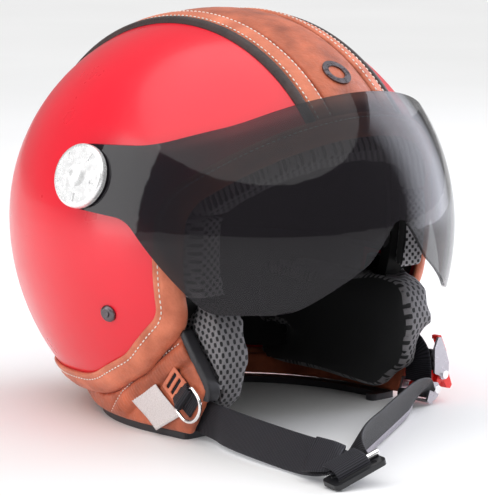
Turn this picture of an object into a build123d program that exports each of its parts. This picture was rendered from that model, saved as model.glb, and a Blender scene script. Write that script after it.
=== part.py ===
from build123d import *
import os

os.makedirs("parts", exist_ok=True)

# Open-face scooter helmet. Millimetres, +Z up, face opening towards -Y, wearer's right at -X.
# The origin is on the ground, in the middle of the helmet's bottom rim.

# Head form: an egg with one ellipse above its widest level and a longer one below it.
HALF_WIDTH = 125
HALF_LENGTH = 141.35
RISE = 128.7
DROP = 140.6
CENTRE_Y = 8.35
WIDEST_Z = 116
REACH = 170

# Build-up through the wall, measured outwards from the shell's outer surface.
SHELL_IN = -4.0
EPS_OUT, EPS_IN = -4.3, -24.0
LINER_OUT, LINER_IN = -24.3, -29.0
TRIM_OUT, TRIM_LIP_IN = 2.0, -4.6
VISOR_IN, VISOR_OUT = 6.0, 8.4

# Opening and bottom edge, as steps beyond the visible border of the red shell.
SHELL_EDGE = 9.0
TRIM_WIDTH = 13.5
EPS_EDGE = 4.0
BROW_EDGE = 21.0

# Crown band, half-widths.
PANEL_HALF = 21.6
STRIP_INNER, STRIP_OUTER = 21.9, 33.6
PIPING_INNER, PIPING_OUTER = 33.8, 39.4

# Visor hinge.
PIVOT_Y, PIVOT_Z = -7.0, 154.5
ARM_RADIUS = 18.5
HUB_RADIUS = 8.0
HUB_CLEARANCE = 0.05
DISC_RADIUS = 19.0
DISC_THICKNESS = 4.5

# Strap anchor rivet.
RIVET_Y, RIVET_Z = -17.5, 74.0
RIVET_RADIUS = 5.2

# Neck skirt.
RIM_HEIGHT = 4.0
SKIRT_WALL = 6.5
SKIRT_FRONT_Y = -95.0
SKIRT_CENTRE_Y = -25.0

# Webbing.
WEBBING_WIDTH, WEBBING_THICKNESS = 22.0, 1.6

CLEAR = 0.3


def sign_name(side):
    return "right" if side < 0 else "left"


def finish(part, name):
    part.label = name
    export_step(part, f"parts/{name}.step")


# Shared shapes


def dome(grow):
    """The head form, swollen by grow on every side."""
    with BuildPart() as body:
        with BuildSketch(Plane.XZ):
            with BuildLine():
                EllipticalCenterArc((0, WIDEST_Z), HALF_WIDTH + grow, RISE + grow, 0, arc_size=90)
                EllipticalCenterArc((0, WIDEST_Z), HALF_WIDTH + grow, DROP + grow, 270, arc_size=90)
                Line((0, WIDEST_Z - DROP - grow), (0, WIDEST_Z + RISE + grow))
            make_face()
        revolve(axis=Axis.Z)
        scale(by=(1, (HALF_LENGTH + grow) / (HALF_WIDTH + grow), 1))
    return body.part.moved(Location((0, CENTRE_Y, 0)))


def layer(inner, outer):
    """The head form's wall between two swellings."""
    return dome(outer) - dome(inner)


def behind_edge(step):
    """Everything behind the helmet's edge, seen from the side; step moves that edge outwards."""
    with BuildPart() as block:
        with BuildSketch(Plane.YZ):
            with BuildLine():
                FilletPolyline(
                    (-REACH, 241.2), (-53.5, 145.2), (-51, 76), (-22, 49), (18, 30), (60, 28),
                    radius=[38, 15, 40, 60],
                )
                Polyline((60, 28), (REACH + 10, 28), (REACH + 10, 265), (-REACH, 265), (-REACH, 241.2))
            make_face()
            if step:
                offset(amount=step, kind=Kind.ARC)
        extrude(amount=REACH, both=True)
    return block.part


def slab(low, high):
    """A block that fills the space between two corners."""
    low, high = Vector(*low), Vector(*high)
    size, middle = high - low, (low + high) * 0.5
    return Pos(*middle) * Box(size.X, size.Y, size.Z, mode=Mode.PRIVATE)


def surface_plane(side, y, z, grow):
    """A plane that touches the head form at (y, z), facing outwards."""
    half_height = RISE if z > WIDEST_Z else DROP
    dy, dz = (y - CENTRE_Y) / (HALF_LENGTH + grow), (z - WIDEST_Z) / (half_height + grow)
    x = (HALF_WIDTH + grow) * (1 - dy * dy - dz * dz) ** 0.5
    normal = Vector(
        side * x / (HALF_WIDTH + grow) ** 2, dy / (HALF_LENGTH + grow), dz / (half_height + grow)
    )
    return Plane(origin=(side * x, y, z), x_dir=(0, 1, 0), z_dir=normal)


def rod(radius, x0, x1, y, z):
    """A round bar along X."""
    with BuildPart() as bar:
        with BuildSketch(Plane.YZ.offset(min(x0, x1))):
            with Locations((y, z)):
                Circle(radius)
        extrude(amount=abs(x1 - x0))
    return bar.part


def skirt_section(height, half_width, half_length, wall):
    """Plan of the skirt at one height: an ellipse whose front half runs straight forward."""
    a, b = half_width - wall, half_length - wall
    with BuildSketch(Plane.XY.offset(height)) as plan:
        with BuildLine():
            EllipticalCenterArc((0, SKIRT_CENTRE_Y), a, b, 0, arc_size=180)
            Polyline((-a, SKIRT_CENTRE_Y), (-a, SKIRT_FRONT_Y), (a, SKIRT_FRONT_Y), (a, SKIRT_CENTRE_Y))
        make_face()
    return plan.sketch


SKIRT_SECTIONS = [(0, 91.5, 108), (14, 94, 126), (38, 96.5, 135), (98, 99, 142)]


def skirt_body(wall):
    """The skirt's outer form, shrunk by wall."""
    with BuildPart() as body:
        for height, half_width, half_length in SKIRT_SECTIONS:
            add(skirt_section(height, half_width, half_length, wall))
        loft()
    return body.part


def side_block(points, radius, x0, x1, step=0):
    """A closed side outline of (y, z) corners, moved out by step and extruded from x0 to x1."""
    with BuildPart() as block:
        with BuildSketch(Plane.YZ.offset(min(x0, x1))):
            with BuildLine():
                FilletPolyline(*points, radius=radius, close=True)
            make_face()
            if step:
                offset(amount=step, kind=Kind.ARC)
        extrude(amount=abs(x1 - x0))
    return block.part


def ribbon(stations, width, thickness):
    """A flat strap through stations of (point, direction of its width)."""
    points = [Vector(*point) for point, _ in stations]
    with BuildPart() as strap:
        for i, (_, across) in enumerate(stations):
            along = (points[min(i + 1, len(points) - 1)] - points[max(i - 1, 0)]).normalized()
            across = Vector(*across) - along * Vector(*across).dot(along)
            with BuildSketch(Plane(origin=points[i], x_dir=across, z_dir=along)):
                Rectangle(width, thickness)
        loft(ruled=True)
    return strap.part


head = dome(0)
behind_border = behind_edge(0)
behind_eps = behind_edge(EPS_EDGE)
behind_shell_edge = behind_edge(SHELL_EDGE)
behind_trim = behind_edge(TRIM_WIDTH)
eps_room = layer(EPS_IN - CLEAR, TRIM_OUT) & behind_edge(EPS_EDGE + CLEAR)
trim_room = layer(TRIM_LIP_IN - CLEAR, TRIM_OUT + 2) & behind_edge(TRIM_WIDTH + CLEAR)

# The skirt's front edge as it meets the cheek pad, and the cheek pad's own side outline.
SKIRT_SIDE = [
    (-57, 92), (-56, 66), (-71, 44), (-78, 34), (-72, 22), (-62, 8), (-52, -12), (150, -12), (150, 92)
]
PAD_SIDE = [(-66, 85), (-84, 77), (-90, 50), (-83, 24), (-60, 4.3), (44, 4.3), (57, 42), (50, 85)]
PAD_RADII = [6, 14, 26, 22, 18, 16, 16, 10]
PAD_INNER_X, PAD_OUTER_X, PAD_TUCKED_X = 65, 93, 84

skirt_room = (skirt_body(-4) - skirt_body(SKIRT_WALL + CLEAR)) & side_block(
    SKIRT_SIDE, 6, -130, 130, step=CLEAR
)
BUCKLE_NOTCH = slab((85.6, -100, 0), (115, -62, 48))
HOOK_NOTCH = slab((80.6, -100, 0), (100, -62, 17))

# Strap adjuster: a slide lying at the far end of the straps, its slots across the webbing
ADJUSTER = Plane(origin=(-102.5, -202.5, 8.2), x_dir=(0.92, -0.195, 0.335), z_dir=(-0.342, 0, 0.94))
ADJUSTER_LONG, ADJUSTER_WIDE, ADJUSTER_THICK = 35.0, 15.0, 3.0


def by_adjuster(x, y, z):
    """A point given from the adjuster's own centre."""
    return tuple(ADJUSTER.from_local_coords(Vector(x, y, z)))


# Strap routes: stations of (point, width direction).


def anchor_route(side):
    """From the anchor rivet down to the space between pad and skirt."""
    return [
        ((side * 112.0, -17.5, 84), (side * 0.178, 1, 0)),
        ((side * 106.8, -17.5, 66), (side * 0.178, 1, 0)),
        ((side * 95.5, -20.0, 50), (side * 0.1, 1, -0.1)),
    ]


RIGHT_ROUTE = anchor_route(-1) + [
    ((-87.4, -28, 36), (0, 0.8, -0.6)),
    ((-86.0, -42, 24), (0, 0.5, -0.87)),
    ((-86.0, -58, 17), (0, 0.2, -1)),
    ((-87.4, -75, 14.2), (0, -0.1, -1)),
    ((-92.0, -92, 13.4), (-0.2, -0.1, -1)),
    ((-98.0, -122, 12.6), (-0.3, -0.2, -0.9)),
    ((-102.5, -158, 11.4), (-0.4, -0.2, -0.88)),
    ((-104.0, -177, 11.4), (-0.6, 0, -0.75)),
    ((-103.4, -187, 11.2), (-0.8, 0.15, -0.5)),
    (by_adjuster(-1, 10, 2.8), (-0.92, 0.195, -0.335)),
    (by_adjuster(-1, 4.4, 2.6), (-0.92, 0.195, -0.335)),
]
LEFT_ROUTE = anchor_route(1) + [
    ((87.4, -28, 42), (0, 0.8, -0.6)),
    ((86.6, -40, 38.5), (0, 0.3, -0.95)),
    ((86.6, -60, 38.5), (0, 0, -1)),
    ((86.8, -69, 36), (0, 0.35, -0.9)),
    ((86.8, -75, 30.5), (0, 0.8, -0.6)),
    ((86.8, -76.5, 24), (0, 1, -0.1)),
    ((86.8, -76.5, 13.5), (0, 1, 0)),
]
CHIN_ROUTE = [
    (by_adjuster(4, 6, -1.4), (-0.92, 0.2, -0.34)),
    ((-93.0, -188.5, 10.4), (-0.7, 0.4, -0.6)),
    ((-82, -181, 12.8), (-0.35, 0.35, -0.87)),
    ((-60, -168.3, 13), (-0.13, 0.22, -0.97)),
    ((-27, -149.4, 13), (-0.13, 0.22, -0.97)),
    ((20, -122, 13), (-0.13, 0.22, -0.97)),
    ((48, -106, 13), (-0.13, 0.3, -0.94)),
    ((68, -93, 11.6), (-0.1, 0.65, -0.75)),
    ((79, -82, 8.4), (0, 0.95, -0.3)),
    ((85.2, -76.8, 6.4), (0, 1, 0)),
]
STRAP_END_ROUTE = [
    ((-107.3, -173, 14.0), (-0.6, 0, -0.75)),
    ((-106.3, -184, 14.4), (-0.75, 0.1, -0.6)),
    (by_adjuster(-1, 11, 6.2), (-0.92, 0.195, -0.335)),
]
CHIN_WIDTH, CHIN_THICKNESS = 24.0, 3.6
STRAP_ROOM = 2.0

# Hard shell

with BuildPart() as outer_shell:
    add(layer(SHELL_IN, 0))
    add(behind_shell_edge, mode=Mode.INTERSECT)
    for side in (-1, 1):
        add(rod(6.0, side * 100, side * 140, PIVOT_Y, PIVOT_Z), mode=Mode.SUBTRACT)
        add(rod(2.6, side * 100, side * 140, RIVET_Y, RIVET_Z), mode=Mode.SUBTRACT)
finish(outer_shell.part, "outer_shell")

with BuildPart() as eps_liner:
    add(layer(EPS_IN, EPS_OUT))
    add(behind_eps, mode=Mode.INTERSECT)
    for side in (-1, 1):
        add(rod(9.0, side * 104, side * 140, PIVOT_Y, PIVOT_Z), mode=Mode.SUBTRACT)
        add(slab((min(side * 76, side * 122), -42, 30), (max(side * 76, side * 122), 0, 92)),
            mode=Mode.SUBTRACT)
finish(eps_liner.part, "eps_liner")

with BuildPart() as crown_liner:
    add(layer(LINER_IN, LINER_OUT))
    add(behind_edge(EPS_EDGE), mode=Mode.INTERSECT)
    split(bisect_by=Plane.XY.offset(96), keep=Keep.TOP)
finish(crown_liner.part, "crown_liner")

with BuildPart() as edge_trim:
    add(layer(0, TRIM_OUT))
    add(behind_shell_edge, mode=Mode.INTERSECT)
    add(behind_border, mode=Mode.SUBTRACT)
    add((layer(TRIM_LIP_IN, TRIM_OUT) & behind_trim) - behind_shell_edge)
finish(edge_trim.part, "edge_trim")

# Crown band: centre panel, raised strips and dark piping, from the brow trim over to the rear trim


def band_piece(x0, x1, height):
    with BuildPart() as strip:
        add(layer(0, height))
        add(behind_border, mode=Mode.INTERSECT)
        add(slab((x0, -REACH, 0), (x1, REACH, 265)), mode=Mode.INTERSECT)
    return strip.part


finish(band_piece(-PANEL_HALF, PANEL_HALF, 1.4), "crown_panel")
for side in (-1, 1):
    x0, x1 = sorted((side * STRIP_INNER, side * STRIP_OUTER))
    finish(band_piece(x0, x1, 2.0), f"crown_strip_{sign_name(side)}")
    x0, x1 = sorted((side * PIPING_INNER, side * PIPING_OUTER))
    finish(band_piece(x0, x1, 2.6), f"crown_piping_{sign_name(side)}")

# Plain ring badge on the panel, above the brow.
BADGE_Y, BADGE_RADIUS, BADGE_HOLE, BADGE_THICKNESS = -88.0, 9.5, 5.5, 0.9
badge_slope = (BADGE_Y - CENTRE_Y) / (HALF_LENGTH + 1.4)
badge_rise = (1 - badge_slope**2) ** 0.5
badge_plane = Plane(
    origin=(0, BADGE_Y, WIDEST_Z + (RISE + 1.4) * badge_rise),
    x_dir=(1, 0, 0),
    z_dir=(0, badge_slope / (HALF_LENGTH + 1.4), badge_rise / (RISE + 1.4)),
)
with BuildPart() as badge:
    with BuildSketch(badge_plane):
        Circle(BADGE_RADIUS)
        Circle(BADGE_HOLE, mode=Mode.SUBTRACT)
    extrude(amount=BADGE_THICKNESS)
finish(badge.part, "forehead_badge")

# Comfort parts round the opening

with BuildPart() as brow_band:
    add(layer(-20, -5) & behind_edge(BROW_EDGE))
    add(behind_edge(EPS_EDGE + CLEAR), mode=Mode.SUBTRACT)
    split(bisect_by=Plane.XY.offset(134), keep=Keep.TOP)
    split(bisect_by=Plane.XZ.offset(20), keep=Keep.TOP)
finish(brow_band.part, "brow_band")

for side in (-1, 1):
    x0, x1 = sorted((0, side * REACH))
    with BuildPart() as temple_pad:
        add(layer(-20, -5) & behind_edge(BROW_EDGE))
        add(behind_edge(EPS_EDGE + CLEAR), mode=Mode.SUBTRACT)
        add(slab((x0, -REACH, 86), (x1, 0, 133.5)), mode=Mode.INTERSECT)
    finish(temple_pad.part, f"temple_pad_{sign_name(side)}")

strap_rooms = {
    side: ribbon(route[:9], WEBBING_WIDTH + STRAP_ROOM, WEBBING_THICKNESS + STRAP_ROOM)
    for side, route in ((-1, RIGHT_ROUTE), (1, LEFT_ROUTE))
}

for side in (-1, 1):
    with BuildPart() as cheek_pad:
        add(side_block(PAD_SIDE, PAD_RADII, side * PAD_INNER_X, side * PAD_OUTER_X))
        fillet(cheek_pad.faces().sort_by(Axis.X)[0 if side > 0 else -1].edges(), radius=5)
        add(side_block(SKIRT_SIDE, 6, side * PAD_TUCKED_X, side * 130, step=5.5), mode=Mode.SUBTRACT)
        add(eps_room, mode=Mode.SUBTRACT)
        add(trim_room, mode=Mode.SUBTRACT)
        add(skirt_room, mode=Mode.SUBTRACT)
        add(strap_rooms[side], mode=Mode.SUBTRACT)
        if side > 0:
            add(BUCKLE_NOTCH, mode=Mode.SUBTRACT)
            add(HOOK_NOTCH, mode=Mode.SUBTRACT)
        largest = cheek_pad.solids().sort_by(SortBy.VOLUME)[-1]
        add(largest, mode=Mode.REPLACE)
    finish(cheek_pad.part, f"cheek_pad_{sign_name(side)}")

with BuildPart() as neck_roll:
    add(skirt_body(SKIRT_WALL + CLEAR))
    add(skirt_body(SKIRT_WALL + 20), mode=Mode.SUBTRACT)
    add(eps_room, mode=Mode.SUBTRACT)
    add(slab((-120, 59, 4.3), (120, 120, 44)), mode=Mode.INTERSECT)
finish(neck_roll.part, "neck_roll")

# Neck skirt, with the dark welt on its front edges and the rim that the helmet stands on

with BuildPart() as neck_skirt:
    add(skirt_body(0))
    add(skirt_body(SKIRT_WALL), mode=Mode.SUBTRACT)
    add(side_block(SKIRT_SIDE, 6, -130, 130), mode=Mode.INTERSECT)
    add(behind_edge(11.5), mode=Mode.SUBTRACT)
    split(bisect_by=Plane.XY.offset(RIM_HEIGHT), keep=Keep.TOP)
    add(trim_room, mode=Mode.SUBTRACT)
    add(BUCKLE_NOTCH, mode=Mode.SUBTRACT)
    for side in (-1, 1):
        add(strap_rooms[side], mode=Mode.SUBTRACT)
finish(neck_skirt.part, "neck_skirt")

for side in (-1, 1):
    with BuildPart() as welt:
        add(skirt_body(-0.8))
        add(skirt_body(SKIRT_WALL + 2), mode=Mode.SUBTRACT)
        add(side_block(SKIRT_SIDE, 6, 0, side * 130, step=4.5), mode=Mode.INTERSECT)
        add(side_block(SKIRT_SIDE, 6, 0, side * 130), mode=Mode.SUBTRACT)
        add(behind_trim, mode=Mode.SUBTRACT)
        add(slab((-130, -100, 27 if side < 0 else 50), (130, 0, 86)), mode=Mode.INTERSECT)
    finish(welt.part, f"front_welt_{sign_name(side)}")

with BuildPart() as base_rim:
    with BuildSketch():
        with BuildLine():
            EllipticalCenterArc((0, SKIRT_CENTRE_Y), 90, 106.5, 0, arc_size=180)
            FilletPolyline(
                (-90, SKIRT_CENTRE_Y), (-90, -54), (-70, -54), (-70, -46), (-80, -46),
                (-80, SKIRT_CENTRE_Y), radius=3,
            )
            EllipticalCenterArc((0, SKIRT_CENTRE_Y), 80, 96.5, 180, arc_size=-180)
            FilletPolyline(
                (80, SKIRT_CENTRE_Y), (80, -46), (70, -46), (70, -54), (90, -54),
                (90, SKIRT_CENTRE_Y), radius=3,
            )
        make_face()
    extrude(amount=RIM_HEIGHT)
finish(base_rim.part, "base_rim")

# Visor and its pivots

with BuildPart() as visor:
    add(layer(VISOR_IN, VISOR_OUT))
    with BuildSketch(Plane.YZ):
        with BuildLine():
            FilletPolyline(
                (PIVOT_Y, PIVOT_Z + ARM_RADIUS), (-48, 174), (-86, 187), (-REACH, 245), radius=[80, 50]
            )
            Line((-REACH, 245), (-REACH, 79))
            FilletPolyline(
                (-REACH, 79), (-84, 79), (-41, 132.5), (PIVOT_Y, PIVOT_Z - ARM_RADIUS), radius=[14, 18]
            )
            CenterArc((PIVOT_Y, PIVOT_Z), ARM_RADIUS, 270, 180)
        make_face()
    extrude(amount=REACH, both=True, mode=Mode.INTERSECT)
    for side in (-1, 1):
        add(rod(11.4, side * 100, side * 122.6, PIVOT_Y, PIVOT_Z), mode=Mode.SUBTRACT)
        add(rod(13, side * 122.6, side * 126.4, PIVOT_Y, PIVOT_Z))
        add(rod(HUB_RADIUS + HUB_CLEARANCE, side * 100, side * 150, PIVOT_Y, PIVOT_Z), mode=Mode.SUBTRACT)
    with BuildSketch(Plane.XZ):
        with BuildLine():
            FilletPolyline(
                (-105, 79), (-66, 79), (-24, 106), (0, 135), (24, 106), (66, 79), (105, 79),
                radius=[30, 25, 9, 25, 30],
            )
            Polyline((105, 79), (105, 50), (-105, 50), (-105, 79))
        make_face()
    extrude(amount=REACH, mode=Mode.SUBTRACT)
finish(visor.part, "visor")

for side in (-1, 1):
    name = sign_name(side)
    with BuildPart() as pivot_base:
        add(rod(11, side * 114, side * 122.2, PIVOT_Y, PIVOT_Z))
        add(head, mode=Mode.SUBTRACT)
        add(rod(5.8, side * 112, side * 120, PIVOT_Y, PIVOT_Z))
        add(rod(HUB_RADIUS, side * 121.5, side * 126.2, PIVOT_Y, PIVOT_Z))
        add(rod(2.6, side * 100, side * 130, PIVOT_Y, PIVOT_Z), mode=Mode.SUBTRACT)
    finish(pivot_base.part, f"pivot_base_{name}")
    with BuildPart() as pivot_insert:
        add(rod(7.5, side * 108.5, side * 111.2, PIVOT_Y, PIVOT_Z))
        add(rod(4.5, side * 105, side * 111.2, PIVOT_Y, PIVOT_Z))
        add(rod(2.5, side * 104, side * 113, PIVOT_Y, PIVOT_Z), mode=Mode.SUBTRACT)
    finish(pivot_insert.part, f"pivot_insert_{name}")
    with BuildPart() as pivot_screw:
        add(rod(2.5, side * 106, side * 126.2, PIVOT_Y, PIVOT_Z))
        add(rod(5.5, side * 126.2, side * 128.2, PIVOT_Y, PIVOT_Z))
        add(slab((min(side * 127.4, side * 129), PIVOT_Y - 6, PIVOT_Z - 0.6),
                 (max(side * 127.4, side * 129), PIVOT_Y + 6, PIVOT_Z + 0.6)), mode=Mode.SUBTRACT)
    finish(pivot_screw.part, f"pivot_screw_{name}")
    face = surface_plane(side, PIVOT_Y, PIVOT_Z, VISOR_OUT + 0.2)
    with BuildPart() as pivot_disc:
        with BuildSketch(face):
            Circle(DISC_RADIUS)
        extrude(amount=DISC_THICKNESS)
        fillet(pivot_disc.edges().sort_by(Axis(face.origin, face.z_dir))[-1], radius=2.2)
        with Locations(face):
            with Locations((0, 0, DISC_THICKNESS + 12.4)):
                Sphere(14, mode=Mode.SUBTRACT)
            with Locations((0, 0, DISC_THICKNESS)):
                with PolarLocations(13.2, 5, start_angle=20):
                    Box(5, 1.3, 1.6, mode=Mode.SUBTRACT)
        add(rod(13.2, side * 118, side * 126.7, PIVOT_Y, PIVOT_Z), mode=Mode.SUBTRACT)
        add(rod(6.0, side * 118, side * 128.6, PIVOT_Y, PIVOT_Z), mode=Mode.SUBTRACT)
    finish(pivot_disc.part, f"pivot_disc_{name}")

# Strap anchors

for side in (-1, 1):
    name = sign_name(side)
    outside = surface_plane(side, RIVET_Y, RIVET_Z, 0)
    inside = surface_plane(side, RIVET_Y, RIVET_Z, SHELL_IN - 0.9)
    with BuildPart() as rivet:
        with BuildSketch(outside):
            Circle(RIVET_RADIUS)
        extrude(amount=2.4)
        fillet(rivet.edges().sort_by(Axis(outside.origin, outside.z_dir))[-1], radius=2.0)
        add(head, mode=Mode.SUBTRACT)
        add(rod(2.5, side * 107, side * 119.8, RIVET_Y, RIVET_Z))
    finish(rivet.part, f"strap_rivet_{name}")
    with BuildPart() as plate:
        with BuildSketch(inside):
            RectangleRounded(24, 22, 4)
        extrude(amount=-1.6)
        add(rod(2.55, side * 100, side * 120, RIVET_Y, RIVET_Z), mode=Mode.SUBTRACT)
    finish(plate.part, f"anchor_plate_{name}")

# Ratchet buckle on the left strap: side plates lie in XZ, pins run along Y
PLATE = 1.5
BUCKLE_FRONT, BUCKLE_REAR = -89.0, -64.0
GAP_FRONT, GAP_REAR = BUCKLE_FRONT + PLATE, BUCKLE_REAR - PLATE
LEVER_X, LEVER_Z = 97.0, 18.4
HOOK_X, HOOK_Z = 90.0, 10.0
PIN_RADIUS, PIN_HEAD_RADIUS, PIN_HEAD_HEIGHT = 1.6, 2.6, 1.3
PIN_CLEARANCE = 0.05
TOOTH_PITCH, TOOTH_COUNT = 2.2, 8
HOUSING_SIDE = [
    (88.2, 36), (91.4, 42.4), (94, 42.4), (98.6, 33), (101.3, 25.5), (101.2, 21), (99.6, 15.2),
    (94.6, 15.4), (93, 18), (88.2, 20),
]
COVER_SIDE = [(92.4, 43.2), (95.4, 43.2), (100.8, 32), (98.2, 31.4), (93.4, 40.6), (92.4, 40.6)]
COVER_DEPTH = 5.0
LEVER_SIDE = [
    (95.2, 21.8), (99.9, 21.8), (103, 18.5), (106.2, 10.4), (104.6, 8.4), (101.6, 8.9), (98.8, 13.4),
    (96.4, 13.8), (93.6, 11.6), (91.9, 13.2), (92.3, 15.4), (94, 19),
]
HOOK_SIDE = [(85.2, 15.4), (91.5, 14), (93.2, 10.5), (91.4, 5.4), (84.8, 1.2), (81.4, 3.4), (83.9, 10)]


def across_buckle(points, radius, y0, y1):
    """A side outline of (x, z) corners extruded across the buckle from y0 to y1."""
    with BuildPart() as block:
        with BuildSketch(Plane.XZ.offset(-y1)):
            with BuildLine():
                FilletPolyline(*points, radius=radius, close=True)
            make_face()
        extrude(amount=y1 - y0)
    return block.part


def cross_rod(radius, x, z, y0, y1):
    """A round bar along Y."""
    with BuildPart() as bar:
        with BuildSketch(Plane.XZ.offset(-y1)):
            with Locations((x, z)):
                Circle(radius)
        extrude(amount=y1 - y0)
    return bar.part


def headed_pin(x, z):
    """A pin through both side plates, with a round head at each end."""
    with BuildPart() as pin:
        add(cross_rod(PIN_RADIUS, x, z, BUCKLE_FRONT, BUCKLE_REAR))
        add(cross_rod(PIN_HEAD_RADIUS, x, z, BUCKLE_FRONT - PIN_HEAD_HEIGHT, BUCKLE_FRONT))
        add(cross_rod(PIN_HEAD_RADIUS, x, z, BUCKLE_REAR, BUCKLE_REAR + PIN_HEAD_HEIGHT))
    return pin.part


with BuildPart() as buckle_housing:
    add(across_buckle(HOUSING_SIDE, 1.2, BUCKLE_FRONT, GAP_FRONT))
    add(across_buckle(HOUSING_SIDE, 1.2, GAP_REAR, BUCKLE_REAR))
    add(slab((88.2, BUCKLE_FRONT, 22), (89.4, BUCKLE_REAR, 35)))
    add(cross_rod(PIN_RADIUS, LEVER_X, LEVER_Z, -95, -60), mode=Mode.SUBTRACT)
finish(buckle_housing.part, "buckle_housing")

finish(across_buckle(COVER_SIDE, 0.7, GAP_FRONT, GAP_FRONT + COVER_DEPTH), "buckle_cover")

with BuildPart() as buckle_lever:
    add(across_buckle(LEVER_SIDE, 0.6, GAP_FRONT + CLEAR, GAP_REAR - CLEAR))
    add(cross_rod(PIN_RADIUS + PIN_CLEARANCE, LEVER_X, LEVER_Z, -95, -60), mode=Mode.SUBTRACT)
    add(cross_rod(3.4, LEVER_X, LEVER_Z, -80, -73), mode=Mode.SUBTRACT)
finish(buckle_lever.part, "buckle_lever")

with BuildPart() as buckle_spring:
    with BuildLine() as coil:
        Helix(pitch=1.0, height=5.0, radius=2.3, center=(LEVER_X, -79, LEVER_Z), direction=(0, 1, 0))
    with BuildSketch(Plane(origin=coil.line @ 0, z_dir=coil.line % 0)):
        Circle(0.36)
    sweep(is_frenet=True)
finish(buckle_spring.part, "buckle_spring")

with BuildPart() as buckle_hook:
    add(across_buckle(HOOK_SIDE, 1.1, BUCKLE_FRONT, GAP_FRONT))
    add(across_buckle(HOOK_SIDE, 1.1, GAP_REAR, BUCKLE_REAR))
    add(slab((83.2, BUCKLE_FRONT, 2.2), (86.4, BUCKLE_REAR, 3.4)))
    add(cross_rod(PIN_RADIUS, HOOK_X, HOOK_Z, -95, -60), mode=Mode.SUBTRACT)
finish(buckle_hook.part, "buckle_hook")

teeth = [
    corner
    for i in range(TOOTH_COUNT)
    for corner in ((91.5, 15 + i * TOOTH_PITCH), (90.8, 15 + (i + 0.9) * TOOTH_PITCH))
]
with BuildPart() as buckle_tongue:
    with BuildSketch(Plane.XZ.offset(68)):
        with BuildLine():
            Polyline((89.7, 34), (89.7, 10), (91.5, 10), *teeth, (89.7, 34))
        make_face()
        with Locations((HOOK_X, HOOK_Z)):
            Circle(2.8)
            Circle(PIN_RADIUS, mode=Mode.SUBTRACT)
    extrude(amount=17)
finish(buckle_tongue.part, "buckle_tongue")

finish(headed_pin(LEVER_X, LEVER_Z), "lever_pin")
finish(headed_pin(HOOK_X, HOOK_Z), "hook_pin")

# Webbing

for side, route in ((-1, RIGHT_ROUTE), (1, LEFT_ROUTE)):
    with BuildPart() as strap:
        add(ribbon(route, WEBBING_WIDTH, WEBBING_THICKNESS))
        add(rod(2.55, side * 100, side * 120, RIVET_Y, RIVET_Z), mode=Mode.SUBTRACT)
    finish(strap.part, f"strap_{sign_name(side)}")
with BuildPart() as chin_strap:
    add(ribbon(CHIN_ROUTE, CHIN_WIDTH, CHIN_THICKNESS))
    add(slab((76, -100, 0), (110, GAP_FRONT + CLEAR, 30)), mode=Mode.SUBTRACT)
    add(slab((76, GAP_REAR - CLEAR, 0), (110, -50, 30)), mode=Mode.SUBTRACT)
    add(cross_rod(3.1, HOOK_X, HOOK_Z, -95, -60), mode=Mode.SUBTRACT)
    with Locations(ADJUSTER):
        Box(60, ADJUSTER_WIDE + 2 * CLEAR, 20, mode=Mode.SUBTRACT)
finish(chin_strap.part, "chin_strap")
finish(ribbon(STRAP_END_ROUTE, WEBBING_WIDTH, 2.4), "strap_end")

with BuildPart() as strap_adjuster:
    with BuildSketch(ADJUSTER):
        RectangleRounded(ADJUSTER_LONG, ADJUSTER_WIDE, 3)
        with GridLocations(0, 7, 1, 2):
            RectangleRounded(26, 3.2, 1.5, mode=Mode.SUBTRACT)
    extrude(amount=ADJUSTER_THICK / 2, both=True)
finish(strap_adjuster.part, "strap_adjuster")

BAR_RADIUS = 1.8
with BuildPart() as adjuster_bar:
    with BuildSketch(Plane(origin=by_adjuster(-6, 1, 3.4), z_dir=ADJUSTER.x_dir)):
        Circle(BAR_RADIUS)
    extrude(amount=24)
    fillet(adjuster_bar.edges(), radius=0.6)
finish(adjuster_bar.part, "adjuster_bar")

# Spare D-ring on the right of the skirt, held by a webbing loop under a slotted leather tab
RING_BAR = (-98.2, -61.4, 27.1)
RING_PULL, RING_ALONG = (0, -0.76, -0.65), (0, 0.65, -0.76)
RING_WIRE, RING_HALF, RING_DEPTH, RING_BEND = 1.1, 10.0, 14.75, 9.6
LOOP_BORE, LOOP_OUT, LOOP_WIDTH = 1.35, 2.55, 16.4
LOOP_LAYER, TAB_LAYER = 1.1, 2.4
ring_plane = Plane(origin=RING_BAR, x_dir=RING_ALONG, z_dir=(1, 0, 0))
loop_plane = Plane(origin=RING_BAR, x_dir=RING_PULL, z_dir=RING_ALONG)

with BuildPart() as d_ring:
    with BuildLine(ring_plane) as ring_path:
        FilletPolyline(
            (-RING_HALF, 0), (RING_HALF, 0), (RING_HALF, -RING_DEPTH), (-RING_HALF, -RING_DEPTH),
            radius=[1.4, 1.4, RING_BEND, RING_BEND], close=True,
        )
    with BuildSketch(Plane(origin=ring_path.line @ 0, z_dir=ring_path.line % 0)):
        Circle(RING_WIRE)
    sweep()
finish(d_ring.part, "d_ring")


def skirt_patch(low, high, footprint):
    """A thin piece on the skirt's right side, between two heights above it."""
    return (skirt_body(-high) - skirt_body(-low)) & footprint


def ring_footprint(u0, u1, width):
    """A rectangle on the skirt, measured along the ring's pull from its bar."""
    with BuildPart() as block:
        with BuildSketch(Plane(origin=RING_BAR, x_dir=RING_PULL, z_dir=(-1, 0, 0))):
            with Locations(((u0 + u1) / 2, 0)):
                Rectangle(u1 - u0, width)
        extrude(amount=12, both=True)
    return block.part


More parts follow.
